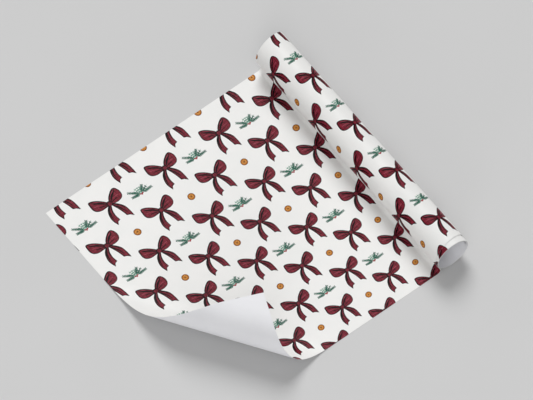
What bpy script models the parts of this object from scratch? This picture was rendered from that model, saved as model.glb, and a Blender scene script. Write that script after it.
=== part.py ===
"""Gift-wrap paper roll, partly unrolled, with one corner of the laid paper curled over.

Run with: blender --background --python part.py
Units are metres and +Z is up. X runs along the roll. The paper lies on the floor from its
cut end, at low Y, to the roll, at high Y. The origin is the middle of the footprint.
"""

import math

import bmesh
import bpy
from mathutils import Vector

# Paper
PAPER_WIDTH = 0.500
PAPER_THICKNESS = 0.0004
GAP = 0.0003

# Roll
ROLL_RADIUS = 0.0335
AXIS_FROM_CUT_END = 0.4873
NIP_RADIUS = 0.008
WINDINGS_WALL = 0.002
TAIL_CLEARANCE = 0.0012
TAIL_LIFT = 0.0016
TAIL_START_DEG = -70.0
TAIL_SWEEP_DEG = 80.0
TAIL_INSET = 0.002
SKEW_AT_NIP = 0.0010
SKEW_SLOPE = 0.125
SKEW_MOST = 0.0150
SKEW_RETURN_DEG = 120.0

# Curled corner
FOLD_ANGLE = math.radians(33.9)
CORNER_DEPTH = 0.204
LIFT_LENGTH = 0.072
LIFT_ANGLE = 0.86
CURL_RADIUS = 0.042
CURL_TURN = 3.2145
CURL_JOINTS = 4

# Mesh steps
ROLL_STEPS = 120
NIP_STEPS = 20
CURL_STEP = 0.004
PROFILE_STEP = 0.0001

# Footprint middle, in paper coordinates
MIDDLE_X = (PAPER_WIDTH - SKEW_MOST) / 2
MIDDLE_Y = (AXIS_FROM_CUT_END + ROLL_RADIUS) / 2

# Where the nip bend meets the floor and the roll
AXIS_HEIGHT = ROLL_RADIUS
SKIN_RADIUS = ROLL_RADIUS + GAP + PAPER_THICKNESS / 2
NIP_RISE = AXIS_HEIGHT - NIP_RADIUS - PAPER_THICKNESS / 2
NIP_RUN = math.sqrt((SKIN_RADIUS + NIP_RADIUS) ** 2 - NIP_RISE**2)
NIP_Y = AXIS_FROM_CUT_END - NIP_RUN
NIP_ANGLE = math.atan2(NIP_RISE, NIP_RUN)

ALONG_FOLD = Vector((math.cos(FOLD_ANGLE), math.sin(FOLD_ANGLE), 0))
ACROSS_FOLD = Vector((math.sin(FOLD_ANGLE), -math.cos(FOLD_ANGLE), 0))
FOLD_START = Vector((PAPER_WIDTH, 0, 0)) - ACROSS_FOLD * CORNER_DEPTH
TO_FOOTPRINT = Vector((-MIDDLE_X, -MIDDLE_Y, 0))


def clear_scene():
    for item in list(bpy.data.objects):
        bpy.data.objects.remove(item, do_unlink=True)


def make_collection(name):
    made = bpy.data.collections.new(name)
    bpy.context.scene.collection.children.link(made)
    return made


def make_material(name, colour, roughness):
    made = bpy.data.materials.new(name)
    made.use_nodes = True
    shader = made.node_tree.nodes["Principled BSDF"]
    shader.inputs["Base Color"].default_value = (*colour, 1)
    shader.inputs["Roughness"].default_value = roughness
    shader.inputs["Metallic"].default_value = 0
    made.diffuse_color = (*colour, 1)
    return made


def turn_at(distance):
    """How far the paper has turned from flat, this far past the start of the lift."""
    if distance <= 0:
        return 0
    if distance < LIFT_LENGTH:
        return LIFT_ANGLE * (distance / LIFT_LENGTH) ** 2
    return min(LIFT_ANGLE + (distance - LIFT_LENGTH) / CURL_RADIUS, CURL_TURN)


def distance_at(turn):
    """The distance past the start of the lift where the paper has turned this far."""
    if turn < LIFT_ANGLE:
        return LIFT_LENGTH * math.sqrt(turn / LIFT_ANGLE)
    return LIFT_LENGTH + (turn - LIFT_ANGLE) * CURL_RADIUS


def trace_profile():
    """Points (run, height) of the bent paper's middle, one every PROFILE_STEP."""
    run = 0
    height = PAPER_THICKNESS / 2
    points = [(run, height)]
    for step in range(int(CORNER_DEPTH / PROFILE_STEP) + 1):
        angle = turn_at((step + 0.5) * PROFILE_STEP)
        run += math.cos(angle) * PROFILE_STEP
        height += math.sin(angle) * PROFILE_STEP
        points.append((run, height))
    return points


PROFILE = trace_profile()


def profile_at(distance):
    """(run, height) of the paper's middle at this distance past the start of the lift."""
    if distance <= 0:
        return distance, PAPER_THICKNESS / 2
    place = distance / PROFILE_STEP
    low = min(int(place), len(PROFILE) - 2)
    part = place - low
    first = PROFILE[low]
    second = PROFILE[low + 1]
    run = first[0] + (second[0] - first[0]) * part
    height = first[1] + (second[1] - first[1]) * part
    return run, height


def bend_point(flat):
    """Where a point of the flat paper lies once the corner is curled."""
    offset = flat - FOLD_START
    distance = offset.dot(ACROSS_FOLD)
    along = offset.dot(ALONG_FOLD)
    run, height = profile_at(distance)
    place = FOLD_START + ACROSS_FOLD * run + ALONG_FOLD * along
    return Vector((place.x, place.y, height))


def thicken(item, inward=False):
    shell = item.modifiers.new("paper_thickness", "SOLIDIFY")
    shell.thickness = PAPER_THICKNESS
    shell.offset = -1 if inward else 0
    shell.use_even_offset = True


def finish_mesh(name, mesh, collection, material, pivot):
    """Makes the object from a bmesh in paper coordinates, with its origin at the pivot."""
    bmesh.ops.translate(mesh, verts=mesh.verts, vec=-pivot)
    data = bpy.data.meshes.new(name)
    mesh.to_mesh(data)
    mesh.free()
    for face in data.polygons:
        face.use_smooth = True
    data.materials.append(material)
    item = bpy.data.objects.new(name, data)
    item.location = pivot + TO_FOOTPRINT
    collection.objects.link(item)
    return item


def cut_line(mesh, distance, keep_low=None):
    """Cuts the flat paper along a line parallel to the fold. keep_low drops one side."""
    bmesh.ops.bisect_plane(
        mesh,
        geom=mesh.verts[:] + mesh.edges[:] + mesh.faces[:],
        dist=0.000001,
        plane_co=FOLD_START + ACROSS_FOLD * distance,
        plane_no=ACROSS_FOLD,
        clear_outer=keep_low is True,
        clear_inner=keep_low is False,
    )


def make_strip(name, start, end, collection, material, pivot):
    """A strip of the sheet between two lines parallel to the fold, bent to the curl."""
    mesh = bmesh.new()
    half = PAPER_WIDTH / 2
    bmesh.ops.create_grid(mesh, x_segments=1, y_segments=1, size=half)
    bmesh.ops.scale(mesh, vec=(1, NIP_Y / PAPER_WIDTH, 1), verts=mesh.verts)
    bmesh.ops.translate(mesh, vec=(half, NIP_Y / 2, 0), verts=mesh.verts)
    if start is not None:
        cut_line(mesh, start, keep_low=False)
    if end is not None:
        cut_line(mesh, end, keep_low=True)
    first = max(start or 0, 0)
    last = CORNER_DEPTH if end is None else end
    steps = max(int((last - first) / CURL_STEP), 1)
    for step in range(steps + 1):
        cut_line(mesh, first + (last - first) * step / steps)
    for vert in mesh.verts:
        vert.co = bend_point(vert.co)
    item = finish_mesh(name, mesh, collection, material, pivot)
    thicken(item)
    return item


def skew_at(angle):
    """How far the outer turn has crept along the roll, this far round from the nip."""
    climb = SKEW_AT_NIP + SKEW_SLOPE * ROLL_RADIUS * angle
    back = min((2 * math.pi - angle) / math.radians(SKEW_RETURN_DEG), 1)
    ease = back * back * (3 - 2 * back)
    return min(climb, SKEW_AT_NIP + (SKEW_MOST - SKEW_AT_NIP) * ease)


def make_nip(collection, material, pivot):
    """The hollow bend in which the laid paper rises from the floor onto the roll."""
    mesh = bmesh.new()
    bmesh.ops.create_grid(mesh, x_segments=1, y_segments=NIP_STEPS, size=0.5)
    spare = GAP / NIP_RADIUS
    sweep = math.pi / 2 + NIP_ANGLE
    for vert in mesh.verts:
        part = vert.co.y + 0.5
        angle = spare + (sweep - spare) * part
        across = (vert.co.x + 0.5) * PAPER_WIDTH
        creep = SKEW_AT_NIP * part**2
        y = NIP_Y + NIP_RADIUS * math.sin(angle)
        z = PAPER_THICKNESS / 2 + NIP_RADIUS * (1 - math.cos(angle))
        vert.co = Vector((across - creep, y, z))
    item = finish_mesh("nip_bend", mesh, collection, material, pivot)
    thicken(item)
    return item


def make_tube(name, radius, wall, crept, collection, material, pivot):
    """A hollow tube round the roll's axis. The outer turn's two ends creep along it."""
    mesh = bmesh.new()
    bmesh.ops.create_cone(
        mesh,
        cap_ends=False,
        segments=ROLL_STEPS,
        radius1=radius,
        radius2=radius,
        depth=PAPER_WIDTH,
    )
    for vert in mesh.verts:
        side = vert.co.copy()
        from_floor = math.atan2(side.y, side.x)
        angle = (math.pi + NIP_ANGLE - from_floor) % (2 * math.pi)
        across = PAPER_WIDTH / 2 + side.z - (skew_at(angle) if crept else 0)
        y = AXIS_FROM_CUT_END + side.x
        vert.co = Vector((across, y, AXIS_HEIGHT + side.y))
    item = finish_mesh(name, mesh, collection, material, pivot)
    thicken(item, inward=True)
    item.modifiers["paper_thickness"].thickness = wall
    return item


def make_tail(collection, material, pivot):
    """The free inner end of the paper, which springs a little off the windings."""
    mesh = bmesh.new()
    bmesh.ops.create_grid(mesh, x_segments=1, y_segments=NIP_STEPS, size=0.5)
    outer = ROLL_RADIUS - PAPER_THICKNESS - GAP - WINDINGS_WALL - TAIL_CLEARANCE / 2
    start = math.radians(TAIL_START_DEG)
    sweep = math.radians(TAIL_SWEEP_DEG)
    length = PAPER_WIDTH - 2 * TAIL_INSET
    for vert in mesh.verts:
        part = vert.co.y + 0.5
        angle = start + sweep * part
        radius = outer - TAIL_LIFT * part**2
        across = TAIL_INSET + (vert.co.x + 0.5) * length
        y = AXIS_FROM_CUT_END + radius * math.cos(angle)
        z = AXIS_HEIGHT + radius * math.sin(angle)
        vert.co = Vector((across, y, z))
    item = finish_mesh("inner_tail", mesh, collection, material, pivot)
    thicken(item)
    return item


def curl_line(distance):
    """The point on the fold's own line at this distance, where that curl joint turns."""
    run, height = profile_at(distance)
    place = FOLD_START + ACROSS_FOLD * run
    return Vector((place.x, place.y, height))


def build():
    clear_scene()
    collection = make_collection("gift_wrap_roll")
    printed = make_material("printed_paper", (0.87, 0.87, 0.855), 0.45)
    plain = make_material("paper_back", (0.76, 0.76, 0.79), 0.55)
    wound = make_material("wound_paper", (0.84, 0.84, 0.83), 0.5)

    share = CURL_TURN / CURL_JOINTS
    lines = [distance_at(share * (count + 0.5)) for count in range(CURL_JOINTS)]
    origin = Vector((0, 0, 0))
    make_strip("laid_sheet", None, lines[0] - GAP / 2, collection, printed, origin)
    names = ["curl_lower", "curl_side", "curl_upper", "corner_flap"]
    ends = [line - GAP / 2 for line in lines[1:]] + [None]
    for name, line, end in zip(names, lines, ends):
        start = line + GAP / 2
        make_strip(name, start, end, collection, plain, curl_line(line))

    nip_point = Vector((PAPER_WIDTH / 2, NIP_Y, PAPER_THICKNESS / 2))
    axis_point = Vector((PAPER_WIDTH / 2, AXIS_FROM_CUT_END, AXIS_HEIGHT))
    make_nip(collection, printed, nip_point)
    turn = (ROLL_RADIUS, PAPER_THICKNESS, True)
    make_tube("outer_turn", *turn, collection, printed, axis_point)
    windings = (ROLL_RADIUS - PAPER_THICKNESS - GAP, WINDINGS_WALL, False)
    make_tube("inner_windings", *windings, collection, wound, axis_point)
    make_tail(collection, plain, axis_point)


build()
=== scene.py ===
"""Partly unrolled gift wrap: a printed sheet, its curled corner and the roll it comes from.

Flat paper coordinates, in metres: x runs along the cut end, y from the cut end towards the roll.
"""

import math

import bpy
import numpy as np
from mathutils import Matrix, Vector
from mathutils.geometry import delaunay_2d_cdt


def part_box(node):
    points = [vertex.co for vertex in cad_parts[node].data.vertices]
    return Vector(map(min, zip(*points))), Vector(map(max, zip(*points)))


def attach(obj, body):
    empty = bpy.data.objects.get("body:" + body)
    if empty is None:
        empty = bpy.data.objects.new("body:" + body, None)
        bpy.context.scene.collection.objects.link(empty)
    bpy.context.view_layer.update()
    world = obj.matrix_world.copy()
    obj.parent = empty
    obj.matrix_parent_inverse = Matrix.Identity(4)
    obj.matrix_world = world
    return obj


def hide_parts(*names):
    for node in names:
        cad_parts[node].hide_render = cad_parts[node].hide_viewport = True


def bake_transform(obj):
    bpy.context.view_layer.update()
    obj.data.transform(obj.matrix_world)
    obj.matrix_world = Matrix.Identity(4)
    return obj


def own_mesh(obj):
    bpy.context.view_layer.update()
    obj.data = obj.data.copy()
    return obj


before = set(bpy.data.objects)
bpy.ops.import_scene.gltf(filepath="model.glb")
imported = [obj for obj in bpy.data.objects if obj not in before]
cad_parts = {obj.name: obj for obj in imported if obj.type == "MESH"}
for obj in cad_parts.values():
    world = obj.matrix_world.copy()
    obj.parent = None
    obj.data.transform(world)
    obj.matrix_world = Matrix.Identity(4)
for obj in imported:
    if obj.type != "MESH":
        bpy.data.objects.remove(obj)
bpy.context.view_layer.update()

# ---------------------------------------------------------------- the frame's sizes, in metres
laid_low, laid_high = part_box("laid_sheet")
windings_low, windings_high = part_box("inner_windings")
turn_low, turn_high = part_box("outer_turn")

LEFT, FRONT = laid_low.x, laid_low.y
WIDTH = laid_high.x - laid_low.x
NIP_Y = laid_high.y - laid_low.y
AXIS_Y = (windings_low.y + windings_high.y) / 2 - FRONT
AXIS_Z = (windings_low.z + windings_high.z) / 2
ROLL_RADIUS = (turn_high.z - turn_low.z) / 2

# ---------------------------------------------------------------- the laid paper and its curled corner
PAPER = 0.00025                              # the drawn thickness
MIDDLE_Z = 0.0002                            # the height of the laid paper's middle
TRAVEL = 0.207                               # how far the roll goes over the laid paper
LEFT_OVER = 0.0003                           # the length that it leaves uncovered at the end
SEAM_GAP = 0.00002                           # between the laid paper and the nip bend
SPLIT_Y = NIP_Y - TRAVEL - LEFT_OVER

FOLD_ANGLE = math.radians(33.9)
CORNER_DEPTH = 0.204                         # from where the corner starts to lift to its tip
LIFT_LENGTH = 0.072                          # it bends more and more over this length,
LIFT_ANGLE = 0.86
CURL_RADIUS = 0.042                          # then evenly,
CURL_TURN = 3.2145                           # up to this turn, in radians
BEND_LINES = (0.0288, 0.0696, 0.1034, 0.1371, 0.1709)
ALONG = Vector((math.cos(FOLD_ANGLE), math.sin(FOLD_ANGLE), 0))
ACROSS = Vector((math.sin(FOLD_ANGLE), -math.cos(FOLD_ANGLE), 0))
FOLD_START = Vector((WIDTH, 0, 0)) - ACROSS * CORNER_DEPTH

# ---------------------------------------------------------------- the roll
NIP_RADIUS = 0.008
NIP_ANGLE = math.atan2(AXIS_Z - NIP_RADIUS - MIDDLE_Z, AXIS_Y - NIP_Y)
NIP_ARC = NIP_RADIUS * (math.pi / 2 + NIP_ANGLE)
NIP_LAP = 0.0040                             # it goes on this far over the outer turn,
NIP_LAP_SINK = 0.00034                       # and comes this much closer to it
SKIN_RADIUS = ROLL_RADIUS + 0.0005

SKEW_AT_NIP = 0.0010                         # the outer turn creeps sideways as it goes round,
SKEW_SLOPE = 0.125
SKEW_MOST = 0.0150
SKEW_RETURN = math.radians(120)              # and comes back over the end of the turn
LIP_SKEW = 0.0050                            # the creep that the windings' print is in step with

TURN_LENGTH = 2 * math.pi * ROLL_RADIUS
TURN_LAP = 0.006
TURN_SINK = 0.00033                          # the turn's end goes under its start:
TURN_SINK_BEFORE = 0.025                     # this far before the full turn it starts to sink,
TURN_SINK_LENGTH = 0.022                     # over this length

WINDS = 6
WIND_START = 0.35                            # radians round from the nip
WIND_PITCH = 0.00030
WIND_DEPTH = 0.00075                         # below the outer turn's outside
WIND_OUTER = ROLL_RADIUS - WIND_DEPTH - PAPER / 2
WIND_LENGTH = sum(2 * math.pi * (WIND_OUTER - WIND_PITCH * (k + 0.5)) for k in range(WINDS))
WIND_PRINTED = 2 * math.pi * WIND_OUTER
WIND_STRAYS = ((0.00022, 1.7, 0.0), (0.00018, 0.61, 1.0))      # sideways: size, waves a radian, start
WIND_STRAY_EASE = 6                          # radians over which they set in

TAIL_INSET = 0.002
TAIL_OUTER = ROLL_RADIUS - 0.0033
TAIL_FROM, TAIL_SWEEP = -70, 80              # degrees up from the side away from the nip
TAIL_LENGTH = math.radians(TAIL_SWEEP) * TAIL_OUTER
TAIL_LIFT = 0.0016                           # how far the free end stands off the wall

# how closely the creases lie, so that each part bends smoothly
LIFT_CREASES = 0.0036
CURL_CREASES = 0.003
NIP_CREASES = 0.0009
TURN_CREASES = 0.0023
WIND_CREASES = 0.0028
TAIL_CREASES = 0.002


# ---------------------------------------------------------------- materials
def linear(r, g, b):
    """A display colour, each part from 0 to 255, as a shader's colour."""
    out = []
    for value in (r, g, b):
        value /= 255
        out.append(value / 12.92 if value <= 0.04045 else ((value + 0.055) / 1.055) ** 2.4)
    return (*out, 1)


def new_material(name):
    made = bpy.data.materials.new(name)
    made.use_nodes = True
    return made, made.node_tree.nodes, made.node_tree.links


def noise_on(nodes, links, coords, scale, detail, rough=0.5):
    made = nodes.new("ShaderNodeTexNoise")
    made.inputs["Scale"].default_value = scale
    made.inputs["Detail"].default_value = detail
    made.inputs["Roughness"].default_value = rough
    links.new(coords, made.inputs["Vector"])
    return made.outputs["Fac"]


def remap(nodes, links, value, low, high, to_low, to_high):
    made = nodes.new("ShaderNodeMapRange")
    made.inputs["From Min"].default_value = low
    made.inputs["From Max"].default_value = high
    made.inputs["To Min"].default_value = to_low
    made.inputs["To Max"].default_value = to_high
    links.new(value, made.inputs["Value"])
    return made.outputs["Result"]


def colour_socket(sockets, name):
    """A Mix node has sockets of one name for several kinds of value. This is the colour's."""
    return [socket for socket in sockets if socket.identifier == name + "_Color"][0]


def mix(nodes, links, factor, first, second):
    made = nodes.new("ShaderNodeMix")
    made.data_type = "RGBA"
    links.new(factor, made.inputs["Factor"])
    for name, value in (("A", first), ("B", second)):
        socket = colour_socket(made.inputs, name)
        if isinstance(value, tuple):
            socket.default_value = value
        else:
            links.new(value, socket)
    return colour_socket(made.outputs, "Result")


def stripes(nodes, links, coords, axis, pitch, share):
    """1 on thin lines pitch apart across one of the flat axes, 0 between them."""
    apart = nodes.new("ShaderNodeSeparateXYZ")
    links.new(coords, apart.inputs[0])
    last = apart.outputs[axis]
    for operation, value in (("DIVIDE", pitch), ("FRACT", None), ("LESS_THAN", share)):
        made = nodes.new("ShaderNodeMath")
        made.operation = operation
        links.new(last, made.inputs[0])
        if value is not None:
            made.inputs[1].default_value = value
        last = made.outputs[0]
    return last


SATIN, MATT, CUT = 0.36, 0.62, 0.7           # roughness of the face, the back and the edge
SMOOTHER, ROUGHER = 0.05, 0.06               # how far the sheen strays from it
PAPER_GLOSS, INK_GLOSS = 0.22, 0.06
FACE_FIBRE, BACK_FIBRE = 0.35, 0.6           # strength of the fibre in the bump
FIBRE_HEIGHT = 0.00004
FIBRE_SCALE, SHEEN_SCALE = 1400, 90
CHECK_PITCH = 0.0031                         # the bow's woven check
THIN_LINE, THICK_LINE = 0.16, 0.22           # share of the pitch


def make_paper_material(name, first, second, rough, gloss=PAPER_GLOSS, cloud=22, fibre=FACE_FIBRE,
                        check=None):
    """Paper or ink on paper: two tones in soft clouds, with paper fibre in bump and a cloudy sheen."""
    made, nodes, links = new_material(name)
    shader = nodes["Principled BSDF"]
    flat = nodes.new("ShaderNodeUVMap")
    flat.uv_map = "flat"
    coords = flat.outputs["UV"]
    clouds = noise_on(nodes, links, coords, cloud, 3.0)
    tone = remap(nodes, links, clouds, 0.35, 0.65, 0.0, 1.0)
    colour = mix(nodes, links, tone, first, second)
    if check:
        thin, thick = check
        for pitch, share, line in ((CHECK_PITCH, THIN_LINE, thin), (2 * CHECK_PITCH, THICK_LINE, thick)):
            for axis in (0, 1):
                on_line = stripes(nodes, links, coords, axis, pitch, share)
                colour = mix(nodes, links, on_line, colour, line)
    links.new(colour, shader.inputs["Base Color"])
    fibres = noise_on(nodes, links, coords, FIBRE_SCALE, 3.0, 0.6)
    sheen = noise_on(nodes, links, coords, SHEEN_SCALE, 4.0, 0.6)
    roughness = remap(nodes, links, sheen, 0.3, 0.7, rough - SMOOTHER, rough + ROUGHER)
    links.new(roughness, shader.inputs["Roughness"])
    relief = nodes.new("ShaderNodeBump")
    relief.inputs["Strength"].default_value = fibre
    relief.inputs["Distance"].default_value = FIBRE_HEIGHT
    links.new(fibres, relief.inputs["Height"])
    links.new(relief.outputs["Normal"], shader.inputs["Normal"])
    shader.inputs["Specular IOR Level"].default_value = gloss
    return made


def make_ink(name, first, second, cloud, check=None):
    return make_paper_material(name, first, second, SATIN, INK_GLOSS, cloud, check=check)


FACE, BACK, EDGE, RIBBON, RIBBON_DARK, RIBBON_LIGHT, LEAF, LEAF_LIGHT, BERRY, FLESH, RIND, PITH = range(12)
CHECK_COLOURS = (linear(108, 31, 43), linear(92, 27, 37))
INKS = (
    make_paper_material("printed_face", linear(235, 234, 232), linear(232, 232, 230), SATIN),
    make_paper_material("paper_back", linear(232, 232, 235), linear(229, 229, 232), MATT, fibre=BACK_FIBRE),
    make_paper_material("paper_edge", linear(226, 226, 226), linear(210, 210, 208), CUT, fibre=BACK_FIBRE),
    make_ink("ink_ribbon", linear(137, 43, 59), linear(117, 35, 49), 140, CHECK_COLOURS),
    make_ink("ink_ribbon_dark", linear(24, 6, 10), linear(14, 4, 7), 140),
    make_ink("ink_ribbon_light", linear(152, 66, 80), linear(135, 54, 67), 140),
    make_ink("ink_leaf", linear(52, 104, 86), linear(38, 84, 70), 300),
    make_ink("ink_leaf_light", linear(100, 152, 130), linear(84, 136, 116), 300),
    make_ink("ink_berry", linear(170, 40, 52), linear(136, 26, 40), 400),
    make_ink("ink_orange", linear(198, 126, 46), linear(176, 102, 30), 400),
    make_ink("ink_rind", linear(136, 82, 30), linear(104, 60, 22), 400),
    make_ink("ink_pith", linear(236, 196, 128), linear(224, 178, 104), 400),
)


# ---------------------------------------------------------------- shapes of the print
def curve(points, closed=False, steps=4):
    """A Catmull-Rom curve through the points."""
    count = len(points)
    out = []
    for span in range(count if closed else count - 1):
        if closed:
            a, b, c, d = (points[(span + k) % count] for k in (-1, 0, 1, 2))
        else:
            b, c = points[span], points[span + 1]
            a = points[span - 1] if span else (2 * b[0] - c[0], 2 * b[1] - c[1])
            d = points[span + 2] if span + 2 < count else (2 * c[0] - b[0], 2 * c[1] - b[1])
        for step in range(steps):
            t = step / steps
            out.append(tuple(
                0.5 * (2 * b[k] + (c[k] - a[k]) * t + (2 * a[k] - 5 * b[k] + 4 * c[k] - d[k]) * t * t
                       + (3 * b[k] - a[k] - 3 * c[k] + d[k]) * t ** 3)
                for k in (0, 1)))
    if not closed:
        out.append(tuple(points[-1]))
    return out


def signed_area(points):
    return sum(a[0] * b[1] - b[0] * a[1] for a, b in zip(points, points[1:] + points[:1])) / 2


def inset(points, distance):
    """The outline moved inwards by a distance."""
    turn = 1 if signed_area(points) > 0 else -1
    out = []
    for index, (x, y) in enumerate(points):
        before, after = points[index - 1], points[(index + 1) % len(points)]
        e1 = Vector((x - before[0], y - before[1])).normalized()
        e2 = Vector((after[0] - x, after[1] - y)).normalized()
        n = Vector((-(e1.y + e2.y), e1.x + e2.x)) * turn
        if n.length < 1e-6:
            out.append((x, y))
            continue
        n.normalize()
        cosine = max(n.dot(Vector((-e1.y, e1.x)) * turn), 0.5)
        out.append((x + n.x * distance / cosine, y + n.y * distance / cosine))
    return out


def disc(x, y, radius, count):
    turns = [2 * math.pi * k / count for k in range(count)]
    return [(x + radius * math.cos(turn), y + radius * math.sin(turn)) for turn in turns]


LEAF_SIDE = ((0.25, 0.75), (0.5, 1.0), (0.78, 0.6))            # share of the length and of the width


def leaf(x0, y0, x1, y1, width):
    """A slim leaf from its stalk to its tip."""
    dx, dy = x1 - x0, y1 - y0
    length = math.hypot(dx, dy)
    nx, ny = -dy / length * width / 2, dx / length * width / 2
    out = [(x0 + dx * t + nx * w, y0 + dy * t + ny * w) for t, w in LEAF_SIDE]
    back = [(x0 + dx * t - nx * w, y0 + dy * t - ny * w) for t, w in reversed(LEAF_SIDE)]
    return [(x0, y0)] + out + [(x1, y1)] + back


# ---------------------------------------------------------------- the bow
OUTLINE_OUT, OUTLINE_IN = -0.5, 1.0          # the two sides of its dark outline, in millimetres inwards
OUTLINE_SHIFT = (0.35, -0.45)                # the inner side is moved, so the outline is uneven
LEFT_TAIL = (                                # each tail goes down one side, has a notch, and comes back
    [(-3.5, -1.5), (-11.0, -9.2), (-15.2, -19.0), (-15.9, -28.0), (-13.4, -37.6)],
    (-10.2, -32.6),
    [(-5.6, -31.4), (-6.4, -22.0), (-4.6, -12.4), (-0.6, -4.5)],
)
RIGHT_TAIL = (
    [(1.4, -4.5), (4.8, -14.0), (7.2, -23.4), (8.6, -31.6)],
    (13.2, -33.4),
    [(17.4, -38.0), (17.5, -28.0), (16.2, -17.2), (11.4, -9.0), (4.5, -1.6)],
)
LEFT_LOOP = [
    (-2.4, 4.4), (-7.0, 10.0), (-13.2, 15.4), (-20.2, 19.4), (-26.6, 20.0), (-28.2, 13.2),
    (-28.2, 5.6), (-25.0, 0.4), (-18.0, -2.5), (-9.5, -2.4), (-3.2, -1.4),
]
RIGHT_LOOP = [
    (2.0, 4.2), (5.6, 10.0), (12.2, 15.6), (18.6, 19.2), (23.4, 18.4), (26.6, 11.6),
    (26.2, 4.2), (23.2, -0.8), (17.8, -3.2), (11.0, -3.8), (3.4, -2.0),
]
KNOT = [
    (-3.9, 3.6), (0.0, 4.7), (3.6, 3.7), (4.2, 0.6), (3.2, -3.0), (0.0, -3.9), (-3.5, -3.0), (-4.4, 0.5),
]
FOLDS = (                                    # each runs out along one curve and back along another
    ([(-4.0, 3.4), (-10.5, 10.0), (-17.5, 15.4), (-24.0, 17.6)],
     [(-20.5, 13.2), (-12.6, 7.8), (-4.2, 1.2)]),
    ([(-4.2, 0.6), (-11.0, 3.0), (-18.5, 4.6)],
     [(-17.5, 3.2), (-10.5, 1.4), (-4.2, -0.4)]),
    ([(-4.0, -0.9), (-9.0, -0.6), (-14.5, -0.6)],
     [(-13.5, -1.4), (-8.5, -1.5), (-4.0, -1.7)]),
    ([(4.0, 3.2), (9.6, 9.8), (16.0, 15.4), (21.5, 17.2)],
     [(19.4, 13.4), (12.0, 7.8), (4.2, 1.2)]),
    ([(4.2, 0.8), (10.0, 2.6), (17.0, 3.4)],
     [(16.0, 2.2), (10.0, 1.2), (4.3, -0.4)]),
    ([(-4.6, -3.4), (-10.6, -11.0), (-13.4, -20.5), (-13.4, -29.0)],
     [(-11.4, -20.0), (-8.2, -11.5), (-3.2, -5.0)]),
    ([(-2.6, -5.4), (-6.4, -13.0), (-8.0, -21.5)],
     [(-7.2, -21.0), (-5.4, -13.0), (-1.9, -5.8)]),
    ([(2.6, -4.2), (8.0, -11.6), (11.6, -20.5), (13.0, -29.0)],
     [(9.8, -21.0), (6.0, -12.6), (1.8, -5.0)]),
    ([(4.2, -3.2), (11.0, -10.0), (15.2, -19.0)],
     [(14.2, -19.0), (10.2, -10.8), (3.6, -3.9)]),
)
GLINTS = (
    ([(-10.0, 10.2), (-16.0, 14.8), (-22.0, 17.4)], [(-21.0, 16.4), (-16.0, 13.6)]),
    ([(-12.0, 5.4), (-18.0, 8.4), (-24.0, 9.4)], [(-23.0, 7.6), (-18.0, 7.0)]),
    ([(9.6, 10.6), (14.0, 14.4), (19.5, 16.2)], [(18.6, 15.0), (14.0, 13.0)]),
    ([(11.0, 5.0), (16.0, 7.0), (21.6, 7.2)], [(20.6, 5.8), (16.0, 5.6)]),
)
KNOT_FOLDS = (
    ([(-1.6, 3.0), (-0.9, 0.4), (-1.4, -2.4)], (-0.5, 0.3)),
    ([(1.2, 3.0), (1.8, 0.4), (1.0, -2.4)], (1.2, 0.3)),
)


def ribbon_piece(outline):
    """A ribbon shape over its own dark outline."""
    right, up = OUTLINE_SHIFT
    inner = [(x + right, y + up) for x, y in inset(outline, OUTLINE_IN)]
    return [(inset(outline, OUTLINE_OUT), RIBBON_DARK), (inner, RIBBON)]


def bow_shapes():
    """A tied ribbon bow, in millimetres to the right of and above its knot."""
    shapes = []
    for down, notch, back in (LEFT_TAIL, RIGHT_TAIL):
        shapes += ribbon_piece(curve(down) + [notch] + curve(back))
    for loop in (LEFT_LOOP, RIGHT_LOOP):
        shapes += ribbon_piece(curve(loop, True, 3))
    for out, back in FOLDS:
        shapes.append((curve(out, steps=3) + curve(back, steps=3), RIBBON_DARK))
    for out, back in GLINTS:
        shapes.append((curve(out, steps=3) + curve(back, steps=2), RIBBON_LIGHT))
    shapes += ribbon_piece(curve(KNOT, True, 2))
    for line, side in KNOT_FOLDS:
        shapes.append((curve(line, steps=2) + [side], RIBBON_DARK))
    return shapes


# ---------------------------------------------------------------- the sprig and the slice
SPRIG_SIZE = 1.1
SPRIG_BASE = (-0.6, -3.4)
TWIGS = (                                    # tip, pairs of needles, ink
    (-1.6, 10.2, 3, LEAF_LIGHT),
    (-6.4, 10.0, 3, LEAF_LIGHT),
    (3.2, 9.6, 3, LEAF_LIGHT),
    (14.0, 4.6, 3, LEAF),
    (-11.0, 5.4, 3, LEAF_LIGHT),
    (-19.4, 9.6, 7, LEAF),
    (-18.6, -1.8, 7, LEAF),
    (8.6, 9.6, 6, LEAF),
    (20.0, -2.0, 7, LEAF),
)
DARK_TWIG, LIGHT_TWIG = 1.9, 1.0             # widths
DARK_NEEDLE, LIGHT_NEEDLE = 5.0, 3.0         # lengths
NEEDLE_FALL = 1.6                            # the dark needles get shorter towards the tip
NEEDLE_FIRST, NEEDLE_SPAN = 0.2, 0.72        # share of the twig
NEEDLE_TURN = 0.66                           # radians from the twig
NEEDLE_HALF_WIDTH = 0.66
BERRIES = ((-2.9, -3.4, 1.2), (1.2, -3.2, 1.2), (-0.8, -4.6, 1.4))

SLICE_RADIUS, FLESH_RADIUS, CORE_RADIUS = 6.5, 5.0, 1.5
SPOKES = 7
SPOKE_FROM, SPOKE_TO, SPOKE_WIDTH, SPOKE_START = 1.0, 4.9, 0.55, 0.3


def needle(x0, y0, dx, dy, reach):
    """A slim diamond from a point along a direction."""
    x1, y1 = x0 + dx * reach, y0 + dy * reach
    wx, wy = -dy * NEEDLE_HALF_WIDTH, dx * NEEDLE_HALF_WIDTH
    mx, my = (x0 + x1) / 2, (y0 + y1) / 2
    return [(x0, y0), (mx + wx, my + wy), (x1, y1), (mx - wx, my - wy)]


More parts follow.
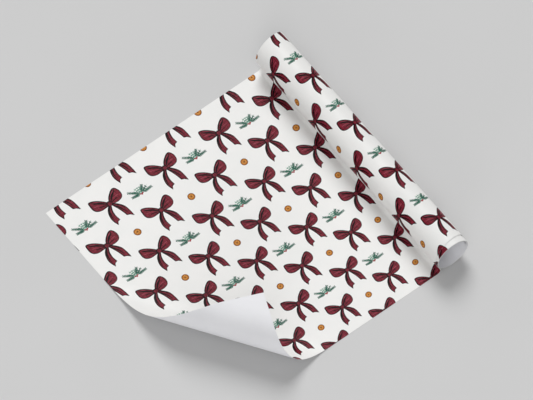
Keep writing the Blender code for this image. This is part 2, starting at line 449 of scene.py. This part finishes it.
def twig_shapes(x, y, pairs, ink):
    """A twig from the sprig's base to its tip, with needles on both sides."""
    x0, y0 = SPRIG_BASE
    length = math.hypot(x - x0, y - y0)
    dx, dy = (x - x0) / length, (y - y0) / length
    shapes = [(leaf(x0, y0, x, y, DARK_TWIG if ink == LEAF else LIGHT_TWIG), ink)]
    for pair in range(pairs):
        along = length * (NEEDLE_FIRST + NEEDLE_SPAN * pair / pairs)
        reach = DARK_NEEDLE - NEEDLE_FALL * pair / pairs if ink == LEAF else LIGHT_NEEDLE
        for turn in (-NEEDLE_TURN, NEEDLE_TURN):
            nx = dx * math.cos(turn) - dy * math.sin(turn)
            ny = dx * math.sin(turn) + dy * math.cos(turn)
            shapes.append((needle(x0 + dx * along, y0 + dy * along, nx, ny, reach), ink))
    return shapes


def sprig_shapes():
    """Evergreen twigs and berries, in millimetres from the middle of the sprig."""
    shapes = []
    for twig in TWIGS:
        shapes += twig_shapes(*twig)
    shapes += [(disc(x, y, radius, 9), BERRY) for x, y, radius in BERRIES]
    return [([(x * SPRIG_SIZE, y * SPRIG_SIZE) for x, y in points], ink) for points, ink in shapes]


def slice_shapes():
    """A round dried fruit slice, in millimetres from its middle."""
    shapes = [(disc(0, 0, SLICE_RADIUS, 22), RIND), (disc(0, 0, FLESH_RADIUS, 20), FLESH)]
    for spoke in range(SPOKES):
        turn = SPOKE_START + 2 * math.pi * spoke / SPOKES
        cos, sin = math.cos(turn), math.sin(turn)
        ends = (SPOKE_FROM * cos, SPOKE_FROM * sin, SPOKE_TO * cos, SPOKE_TO * sin)
        shapes.append((leaf(*ends, SPOKE_WIDTH), PITH))
    shapes.append((disc(0, 0, CORE_RADIUS, 9), RIND))
    return shapes


# ---------------------------------------------------------------- how the print repeats
SHEET_START = (0.0546, 0.0964)               # the laid paper's lattice: its first bow,
SHEET_S, SHEET_T = (0.1297, 0.0143), (0.0022, 0.1181)          # its two steps,
SHEET_DRAW = (0.0323, 0.0081)                # and how much it draws together along each
ROLL_START = (0.0492, 0.1000)
TILE_X, TILE_Y = 0.1163, 0.1139
PRINT_STEP = 0.0511                          # the roll's print is this far out of step with the sheet's
COLUMNS, ROWS = range(-2, 6), range(-2, 16)  # more than reach any sheet
BARE_FROM, BARE_TO = 1.5, 2.9                # columns without motifs in the row at the cut end

bow, fruit, sprig = bow_shapes(), slice_shapes(), sprig_shapes()
MOTIFS = (                                   # shapes, place in the tile, shift from it, reach
    (bow, 0.0, 0.0, -0.0027, 0.0010, 0.042),
    (bow, 0.498, 0.4915, -0.0027, 0.0010, 0.042),
    (fruit, 0.5536, -0.0088, 0.0, 0.0, 0.009),
    (sprig, 0.0725, 0.4852, 0.0, 0.0, 0.029),
)


def sheet_print(s, t):
    """Where a place of the print's lattice lies on the laid paper: the rows draw slightly together."""
    share = 1 + SHEET_DRAW[0] * s + SHEET_DRAW[1] * t
    return Vector([(SHEET_START[k] + SHEET_S[k] * s + SHEET_T[k] * t) / share for k in (0, 1)])


def roll_print(s, t):
    return Vector((ROLL_START[0] + TILE_X * s, ROLL_START[1] + TILE_Y * t))


def wound_print(s, t):
    """The windings' print, in step with the outer turn's over their open end."""
    spot = roll_print(s, t)
    return Vector((spot.x - LIP_SKEW, spot.y))


def slopes(lattice, s, t):
    """How a step along each lattice direction moves on the paper, as a 2 x 2 array."""
    step = 0.01
    here = lattice(s, t)
    down = (lattice(s + step, t) - here) / step
    side = (lattice(s, t + step) - here) / step
    return np.array([[down.x, side.x], [down.y, side.y]])


def printed_shapes(low, high, lattice, shift):
    """Every motif's shapes that reach the area, in its coordinates. shift is the lattice's y at y = 0."""
    out = []
    usual = np.linalg.inv(slopes(lattice, 1.5, 1.0))
    for shapes, s, t, shift_x, shift_y, reach in MOTIFS:
        for column in COLUMNS:
            for row in ROWS:
                if t + row <= -1 and BARE_FROM < s + column < BARE_TO:
                    continue
                middle = lattice(s + column, t + row)
                x, y = middle.x + shift_x, middle.y + shift_y - shift
                if not (low[0] - reach < x < high[0] + reach and low[1] - reach < y < high[1] + reach):
                    continue
                spread = slopes(lattice, s + column, t + row) @ usual
                for points, ink in shapes:
                    moved = [spread @ (-up / 1000, right / 1000) for right, up in points]
                    out.append(([(x + float(p[0]), y + float(p[1])) for p in moved], ink))
    return out


# ---------------------------------------------------------------- sheets
def triangulate(outline, creases, shapes):
    """Triangles of the outline cut along creases and shapes, each with its ink or None."""
    points, edges, faces, inks = [], [], [], []

    def add(loop, ink):
        if signed_area(loop) < 0:
            loop = loop[::-1]
        start = len(points)
        points.extend(Vector(p) for p in loop)
        faces.append(list(range(start, start + len(loop))))
        inks.append(ink)

    add(list(outline), None)
    for loop, ink in shapes:
        add(loop, ink)
    for a, b in creases:
        start = len(points)
        points.extend((Vector(a), Vector(b)))
        edges.append((start, start + 1))
    spots, _, found, _, _, origins = delaunay_2d_cdt(points, edges, faces, 1, 1e-7)
    kept = []
    for face, origin in zip(found, origins):
        if 0 in origin:                      # it lies in the outline; the last shape is on top
            kept.append((tuple(face), inks[max(origin)]))
    return [(p.x, p.y) for p in spots], kept


def border_of(triangles):
    """The edges that only one triangle has, in its winding."""
    seen = {}
    for face, _ in triangles:
        for a, b in zip(face, face[1:] + face[:1]):
            seen[(a, b)] = True
    return [edge for edge in seen if (edge[1], edge[0]) not in seen]


def chain(border):
    """The border's points in order."""
    follow = dict(border)
    start = border[0][0]
    loop = [start]
    while follow[loop[-1]] != start:
        loop.append(follow[loop[-1]])
    return loop


def micron_key(spot):
    return round(spot[0] * 1e6), round(spot[1] * 1e6)


def point_below(below, spot):
    """The underside's point at a flat place, up to a micron away."""
    x, y = micron_key(spot)
    for dx in (0, 1, -1):
        for dy in (0, 1, -1):
            if (x + dx, y + dy) in below:
                return below[(x + dx, y + dy)]
    raise RuntimeError(f"no underside point at {spot}")


def paper_object(name, verts, flats, faces, inks, corners):
    """An object with a material for each ink, the flat coordinates and its corners' normals."""
    mesh = bpy.data.meshes.new(name)
    mesh.from_pydata([v + Vector((LEFT, FRONT, 0)) for v in verts], [], faces)
    slots = sorted(set(inks))
    for ink in slots:
        mesh.materials.append(INKS[ink])
    mesh.polygons.foreach_set("material_index", [slots.index(ink) for ink in inks])
    mesh.polygons.foreach_set("use_smooth", [True] * len(faces))
    layer = mesh.uv_layers.new(name="flat")
    layer.data.foreach_set("uv", [c for face in faces for i in face for c in flats[i]])
    mesh.update()
    mesh.normals_split_custom_set([tuple(n) for n in corners])
    made = bpy.data.objects.new(name, mesh)
    bpy.context.scene.collection.objects.link(made)
    return made


def make_sheet(name, outline, creases, place, lattice=None, shift=0.0, printed_to=None):
    """A closed thin sheet of paper. place() gives a flat point's middle and its face's normal."""
    low = (min(p[0] for p in outline), min(p[1] for p in outline))
    high = (max(p[0] for p in outline), max(p[1] for p in outline))
    printed_high = (high[0], printed_to or high[1])
    shapes = printed_shapes(low, printed_high, lattice, shift) if lattice else []
    spots, top = triangulate(outline, creases, shapes)
    border = border_of(top)
    under_spots, under = triangulate([spots[i] for i in chain(border)], creases, [])
    verts, normals, flats = [], [], []

    def add_side(side_spots, triangles, side):
        """Adds the points of the face, side 1, or of the back, side -1, and gives their indices."""
        index = {}
        for i in sorted({i for face, _ in triangles for i in face}):
            middle, normal = place(*side_spots[i])
            index[i] = len(verts)
            verts.append(middle + normal * side * PAPER / 2)
            normals.append(normal * side)
            flats.append(side_spots[i])
        return index

    top_index = add_side(spots, top, 1)
    under_index = add_side(under_spots, under, -1)
    below = {micron_key(under_spots[i]): index for i, index in under_index.items()}
    faces, inks, corners = [], [], []
    for face, ink in top:
        faces.append([top_index[i] for i in face])
        inks.append(FACE if ink is None else ink)
        corners += [normals[i] for i in faces[-1]]
    for face, _ in under:
        faces.append([under_index[i] for i in reversed(face)])
        inks.append(BACK)
        corners += [normals[i] for i in faces[-1]]
    for a, b in border:
        under_a, under_b = point_below(below, spots[a]), point_below(below, spots[b])
        faces.append([top_index[b], top_index[a], under_a, under_b])
        inks.append(EDGE)
        corners += [Vector((0, 0, 0))] * 4   # which leaves the normal to Blender
    return paper_object(name, verts, flats, faces, inks, corners)


# ---------------------------------------------------------------- where the paper lies
def ease(t):
    t = min(max(t, 0.0), 1.0)
    return t * t * (3 - 2 * t)


def turn_at(distance):
    """How far the corner has turned up, in radians, at a distance past the fold's start."""
    if distance <= 0:
        return 0.0
    if distance < LIFT_LENGTH:
        return LIFT_ANGLE * (distance / LIFT_LENGTH) ** 2
    return min(LIFT_ANGLE + (distance - LIFT_LENGTH) / CURL_RADIUS, CURL_TURN)


PROFILE_STEP = 0.0001
PROFILE = [(0.0, MIDDLE_Z)]
for step in range(int(CORNER_DEPTH / PROFILE_STEP) + 2):
    bent = turn_at((step + 0.5) * PROFILE_STEP)
    run, height = PROFILE[-1]
    PROFILE.append((run + math.cos(bent) * PROFILE_STEP, height + math.sin(bent) * PROFILE_STEP))


def profile_at(distance):
    """How far along and how high the paper is, at a distance past the fold's start."""
    if distance <= 0:
        return distance, MIDDLE_Z
    low = min(int(distance / PROFILE_STEP), len(PROFILE) - 2)
    part = distance / PROFILE_STEP - low
    a, b = PROFILE[low], PROFILE[low + 1]
    return a[0] + (b[0] - a[0]) * part, a[1] + (b[1] - a[1]) * part


def place_laid(x, y):
    """The laid paper, flat up to the fold's start and bent past it."""
    offset = Vector((x, y, 0)) - FOLD_START
    distance = offset.dot(ACROSS)
    run, height = profile_at(distance)
    bent = turn_at(distance)
    middle = FOLD_START + ACROSS * run + ALONG * offset.dot(ALONG)
    middle.z = height
    return middle, ACROSS * -math.sin(bent) + Vector((0, 0, math.cos(bent)))


def skew_at(angle):
    """The outer turn's sideways creep at an angle round from the nip."""
    climb = SKEW_AT_NIP + SKEW_SLOPE * ROLL_RADIUS * angle
    back = ease((2 * math.pi - angle) / SKEW_RETURN)
    return min(climb, SKEW_AT_NIP + (SKEW_MOST - SKEW_AT_NIP) * back)


def on_roll(x, angle, radius):
    """A point at an angle round from the nip, up over the top, and its outward normal."""
    around = math.pi + NIP_ANGLE - angle
    normal = Vector((0, math.cos(around), math.sin(around)))
    return Vector((x, AXIS_Y, AXIS_Z)) + normal * radius, normal


def place_nip(x, y):
    """y is the distance past the nip."""
    if y <= NIP_ARC:
        cos, sin = math.cos(y / NIP_RADIUS), math.sin(y / NIP_RADIUS)
        creep = SKEW_AT_NIP * (y / NIP_ARC) ** 2
        middle = Vector((x - creep, NIP_Y + NIP_RADIUS * sin, MIDDLE_Z + NIP_RADIUS * (1 - cos)))
        return middle, Vector((0, -sin, cos))
    past = (y - NIP_ARC) / SKIN_RADIUS
    radius = SKIN_RADIUS - NIP_LAP_SINK * ease((y - NIP_ARC) / NIP_LAP)
    return on_roll(x - skew_at(past), past, radius)


def place_turn(x, y):
    """y is the distance round from the nip, on the outer turn."""
    angle = y / ROLL_RADIUS
    sink = TURN_SINK * ease((y - TURN_LENGTH + TURN_SINK_BEFORE) / TURN_SINK_LENGTH)
    return on_roll(x - skew_at(angle), angle, ROLL_RADIUS - PAPER / 2 - sink)


def place_wind(x, y):
    """The windings' spiral: y runs along the paper from the outermost point inwards."""
    slope = WIND_PITCH / (2 * math.pi)
    angle = (WIND_OUTER - math.sqrt(max(WIND_OUTER ** 2 - 2 * slope * y, 0))) / slope
    stray = sum(size * math.sin(waves * angle + start) for size, waves, start in WIND_STRAYS)
    aside = x + stray * ease(angle / WIND_STRAY_EASE)
    return on_roll(aside, angle + WIND_START, WIND_OUTER - slope * angle)


def place_tail(x, y):
    """The free inner end: y runs from its standing edge to the wall."""
    part = 1 - y / TAIL_LENGTH
    around = math.radians(TAIL_FROM + TAIL_SWEEP * part)
    normal = Vector((0, math.cos(around), math.sin(around)))
    return Vector((x, AXIS_Y, AXIS_Z)) + normal * (TAIL_OUTER - TAIL_LIFT * part ** 2), normal


# ---------------------------------------------------------------- outlines and creases
CREASE_HALF = 0.9                            # creases parallel to the fold run on past every edge,
CREASE_PAST = 0.02                           # and so do the level ones


def rectangle(x0, y0, x1, y1):
    return [(x0, y0), (x1, y0), (x1, y1), (x0, y1)]


def between(first, last, gap):
    """Even steps of about a gap between two values, without the values themselves."""
    count = max(int(round((last - first) / gap)), 1)
    return [first + (last - first) * k / count for k in range(1, count)]


def fold_line(distance):
    """A crease parallel to the fold."""
    at = FOLD_START + ACROSS * distance
    a, b = at - ALONG * CREASE_HALF, at + ALONG * CREASE_HALF
    return (a.x, a.y), (b.x, b.y)


def fold_lines(first, last, gap):
    return [fold_line(distance) for distance in between(first, last, gap)]


def level_lines(length, gap):
    """Creases parallel to the roll's axis."""
    return [((-CREASE_PAST, y), (WIDTH + CREASE_PAST, y)) for y in between(0.0, length, gap)]


def depth(p):
    """How far past the fold's start a flat point is."""
    return (Vector((p[0], p[1], 0)) - FOLD_START).dot(ACROSS)


def clip(outline, distance, keep_low):
    """The part of an outline on one side of a line parallel to the fold."""
    sign = 1 if keep_low else -1
    out = []
    for a, b in zip(outline, outline[1:] + outline[:1]):
        past_a, past_b = sign * (depth(a) - distance), sign * (depth(b) - distance)
        if past_a <= 0:
            out.append(a)
        if (past_a < 0 < past_b) or (past_b < 0 < past_a):
            t = past_a / (past_a - past_b)
            out.append((a[0] + (b[0] - a[0]) * t, a[1] + (b[1] - a[1]) * t))
    return out


def bend_place(distance):
    """A place on the line at a distance past the fold's start, in the frame."""
    run, height = profile_at(distance)
    at = FOLD_START + ACROSS * run + Vector((LEFT, FRONT, 0))
    at.z = height
    return tuple(at)


# ---------------------------------------------------------------- the laid sheet and the curl
whole = rectangle(0.0, 0.0, WIDTH, SPLIT_Y)
front_outline = clip(whole, BEND_LINES[0], True)
front_creases = fold_lines(0.0, BEND_LINES[0], LIFT_CREASES) + [fold_line(0.0)]
laid_front = make_sheet("laid_sheet_front", front_outline, front_creases, place_laid, sheet_print)
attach(laid_front, "sheet")
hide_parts("laid_sheet")

rear_outline = rectangle(0.0, SPLIT_Y, WIDTH, NIP_Y - SEAM_GAP)
laid_rear = make_sheet("laid_sheet_rear", rear_outline, [], place_laid, sheet_print)
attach(laid_rear, "sheet")
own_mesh(laid_rear)
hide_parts("laid_sheet")

curl_nodes = ["curl_lower", "curl_side", "curl_upper", "corner_flap"]
for index, node in enumerate(curl_nodes):
    first, last = BEND_LINES[index], BEND_LINES[index + 1]
    band = clip(whole, first, False)
    if node == "corner_flap":
        creases = fold_lines(first, CORNER_DEPTH, CURL_CREASES)
    else:
        band = clip(band, last, True)
        creases = fold_lines(first, last, CURL_CREASES)
    piece = make_sheet("paper_" + node, band, creases, place_laid, sheet_print)
    bend_place(first)
    bend_place(last)
    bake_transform(piece)
    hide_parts(node)

# ---------------------------------------------------------------- the roll's pieces
nip_length = NIP_ARC + NIP_LAP
nip = make_sheet("paper_nip_bend", rectangle(0.0, 0.0, WIDTH, nip_length),
                 level_lines(nip_length, NIP_CREASES), place_nip, sheet_print, NIP_Y)
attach(nip, "nip")
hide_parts("nip_bend")

turn_total = TURN_LENGTH + TURN_LAP
turn_shift = NIP_Y + NIP_ARC + PRINT_STEP
outer = make_sheet("paper_outer_turn", rectangle(0.0, 0.0, WIDTH, turn_total),
                   level_lines(turn_total, TURN_CREASES), place_turn, roll_print, turn_shift)
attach(outer, "roll")
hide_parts("outer_turn")

windings = make_sheet("paper_windings", rectangle(0.0, 0.0, WIDTH, WIND_LENGTH),
                      level_lines(WIND_LENGTH, WIND_CREASES), place_wind, wound_print,
                      turn_shift + ROLL_RADIUS * WIND_START, WIND_PRINTED)
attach(windings, "windings")
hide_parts("inner_windings")

tail = make_sheet("paper_inner_tail", rectangle(TAIL_INSET, 0.0, WIDTH - TAIL_INSET, TAIL_LENGTH),
                  level_lines(TAIL_LENGTH, TAIL_CREASES), place_tail)
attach(tail, "windings")
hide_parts("inner_tail")


# ---------------------------------------------------------------- floor, light and camera
FLOOR_REACH = 5
FLOOR_ROUGH, FLOOR_GLOSS = 0.85, 0.2
AMBIENT = 0.36
LIGHT_DISTANCE = 3
TO_CAMERA = Vector((0.387, -0.298, 0.873)).normalized()
AIM = Vector((-0.034, 0.0527, 0))
CAMERA_DISTANCE = 27.7                       # from far off with a long lens, so hardly any perspective
CAMERA_LENS, CAMERA_SENSOR = 1100, 36


def make_floor_material():
    made, nodes, links = new_material("studio_floor")
    shader = nodes["Principled BSDF"]
    where = nodes.new("ShaderNodeTexCoord").outputs["Object"]
    tone = remap(nodes, links, noise_on(nodes, links, where, 3.0, 2.0), 0.3, 0.7, 0.0, 1.0)
    colour = mix(nodes, links, tone, linear(206, 206, 206), linear(204, 204, 204))
    links.new(colour, shader.inputs["Base Color"])
    shader.inputs["Roughness"].default_value = FLOOR_ROUGH
    shader.inputs["Specular IOR Level"].default_value = FLOOR_GLOSS
    return made


floor_corners = [(x, y, 0) for x, y in rectangle(-FLOOR_REACH, -FLOOR_REACH, FLOOR_REACH, FLOOR_REACH)]
floor_mesh = bpy.data.meshes.new("floor")
floor_mesh.from_pydata(floor_corners, [], [(0, 1, 2, 3)])
floor_mesh.materials.append(make_floor_material())
floor = bpy.data.objects.new("floor", floor_mesh)
bpy.context.scene.collection.objects.link(floor)

world = bpy.data.worlds.new("studio")
world.use_nodes = True
world.node_tree.nodes["Background"].inputs["Color"].default_value = (1, 1, 1, 1)
world.node_tree.nodes["Background"].inputs["Strength"].default_value = AMBIENT
bpy.context.scene.world = world


def look_along(made, direction):
    """Turns a light or a camera to look along a direction."""
    made.rotation_mode = "QUATERNION"
    made.rotation_quaternion = direction.to_track_quat("-Z", "Y")


def add_sun(name, towards, strength, softness):
    """A light from a direction. Its softness is the angle it fills, in degrees."""
    data = bpy.data.lights.new(name, "SUN")
    data.energy = strength
    data.angle = math.radians(softness)
    made = bpy.data.objects.new(name, data)
    bpy.context.scene.collection.objects.link(made)
    made.location = Vector(towards) * LIGHT_DISTANCE
    look_along(made, -Vector(towards))


add_sun("key", (-0.60, 0.34, 0.73), 2.00, 31)
add_sun("fill", (0.48, -0.42, 0.77), 0.50, 40)
add_sun("low_fill", (0.70, -0.70, 0.14), 0.85, 30)

bpy.context.scene.view_settings.view_transform = "Standard"

camera_data = bpy.data.cameras.new("camera")
camera_data.lens = CAMERA_LENS
camera_data.sensor_width = CAMERA_SENSOR
camera_data.clip_start, camera_data.clip_end = 1, 80
camera = bpy.data.objects.new("camera", camera_data)
bpy.context.scene.collection.objects.link(camera)
camera.location = AIM + TO_CAMERA * CAMERA_DISTANCE
look_along(camera, -TO_CAMERA)
bpy.context.scene.camera = camera
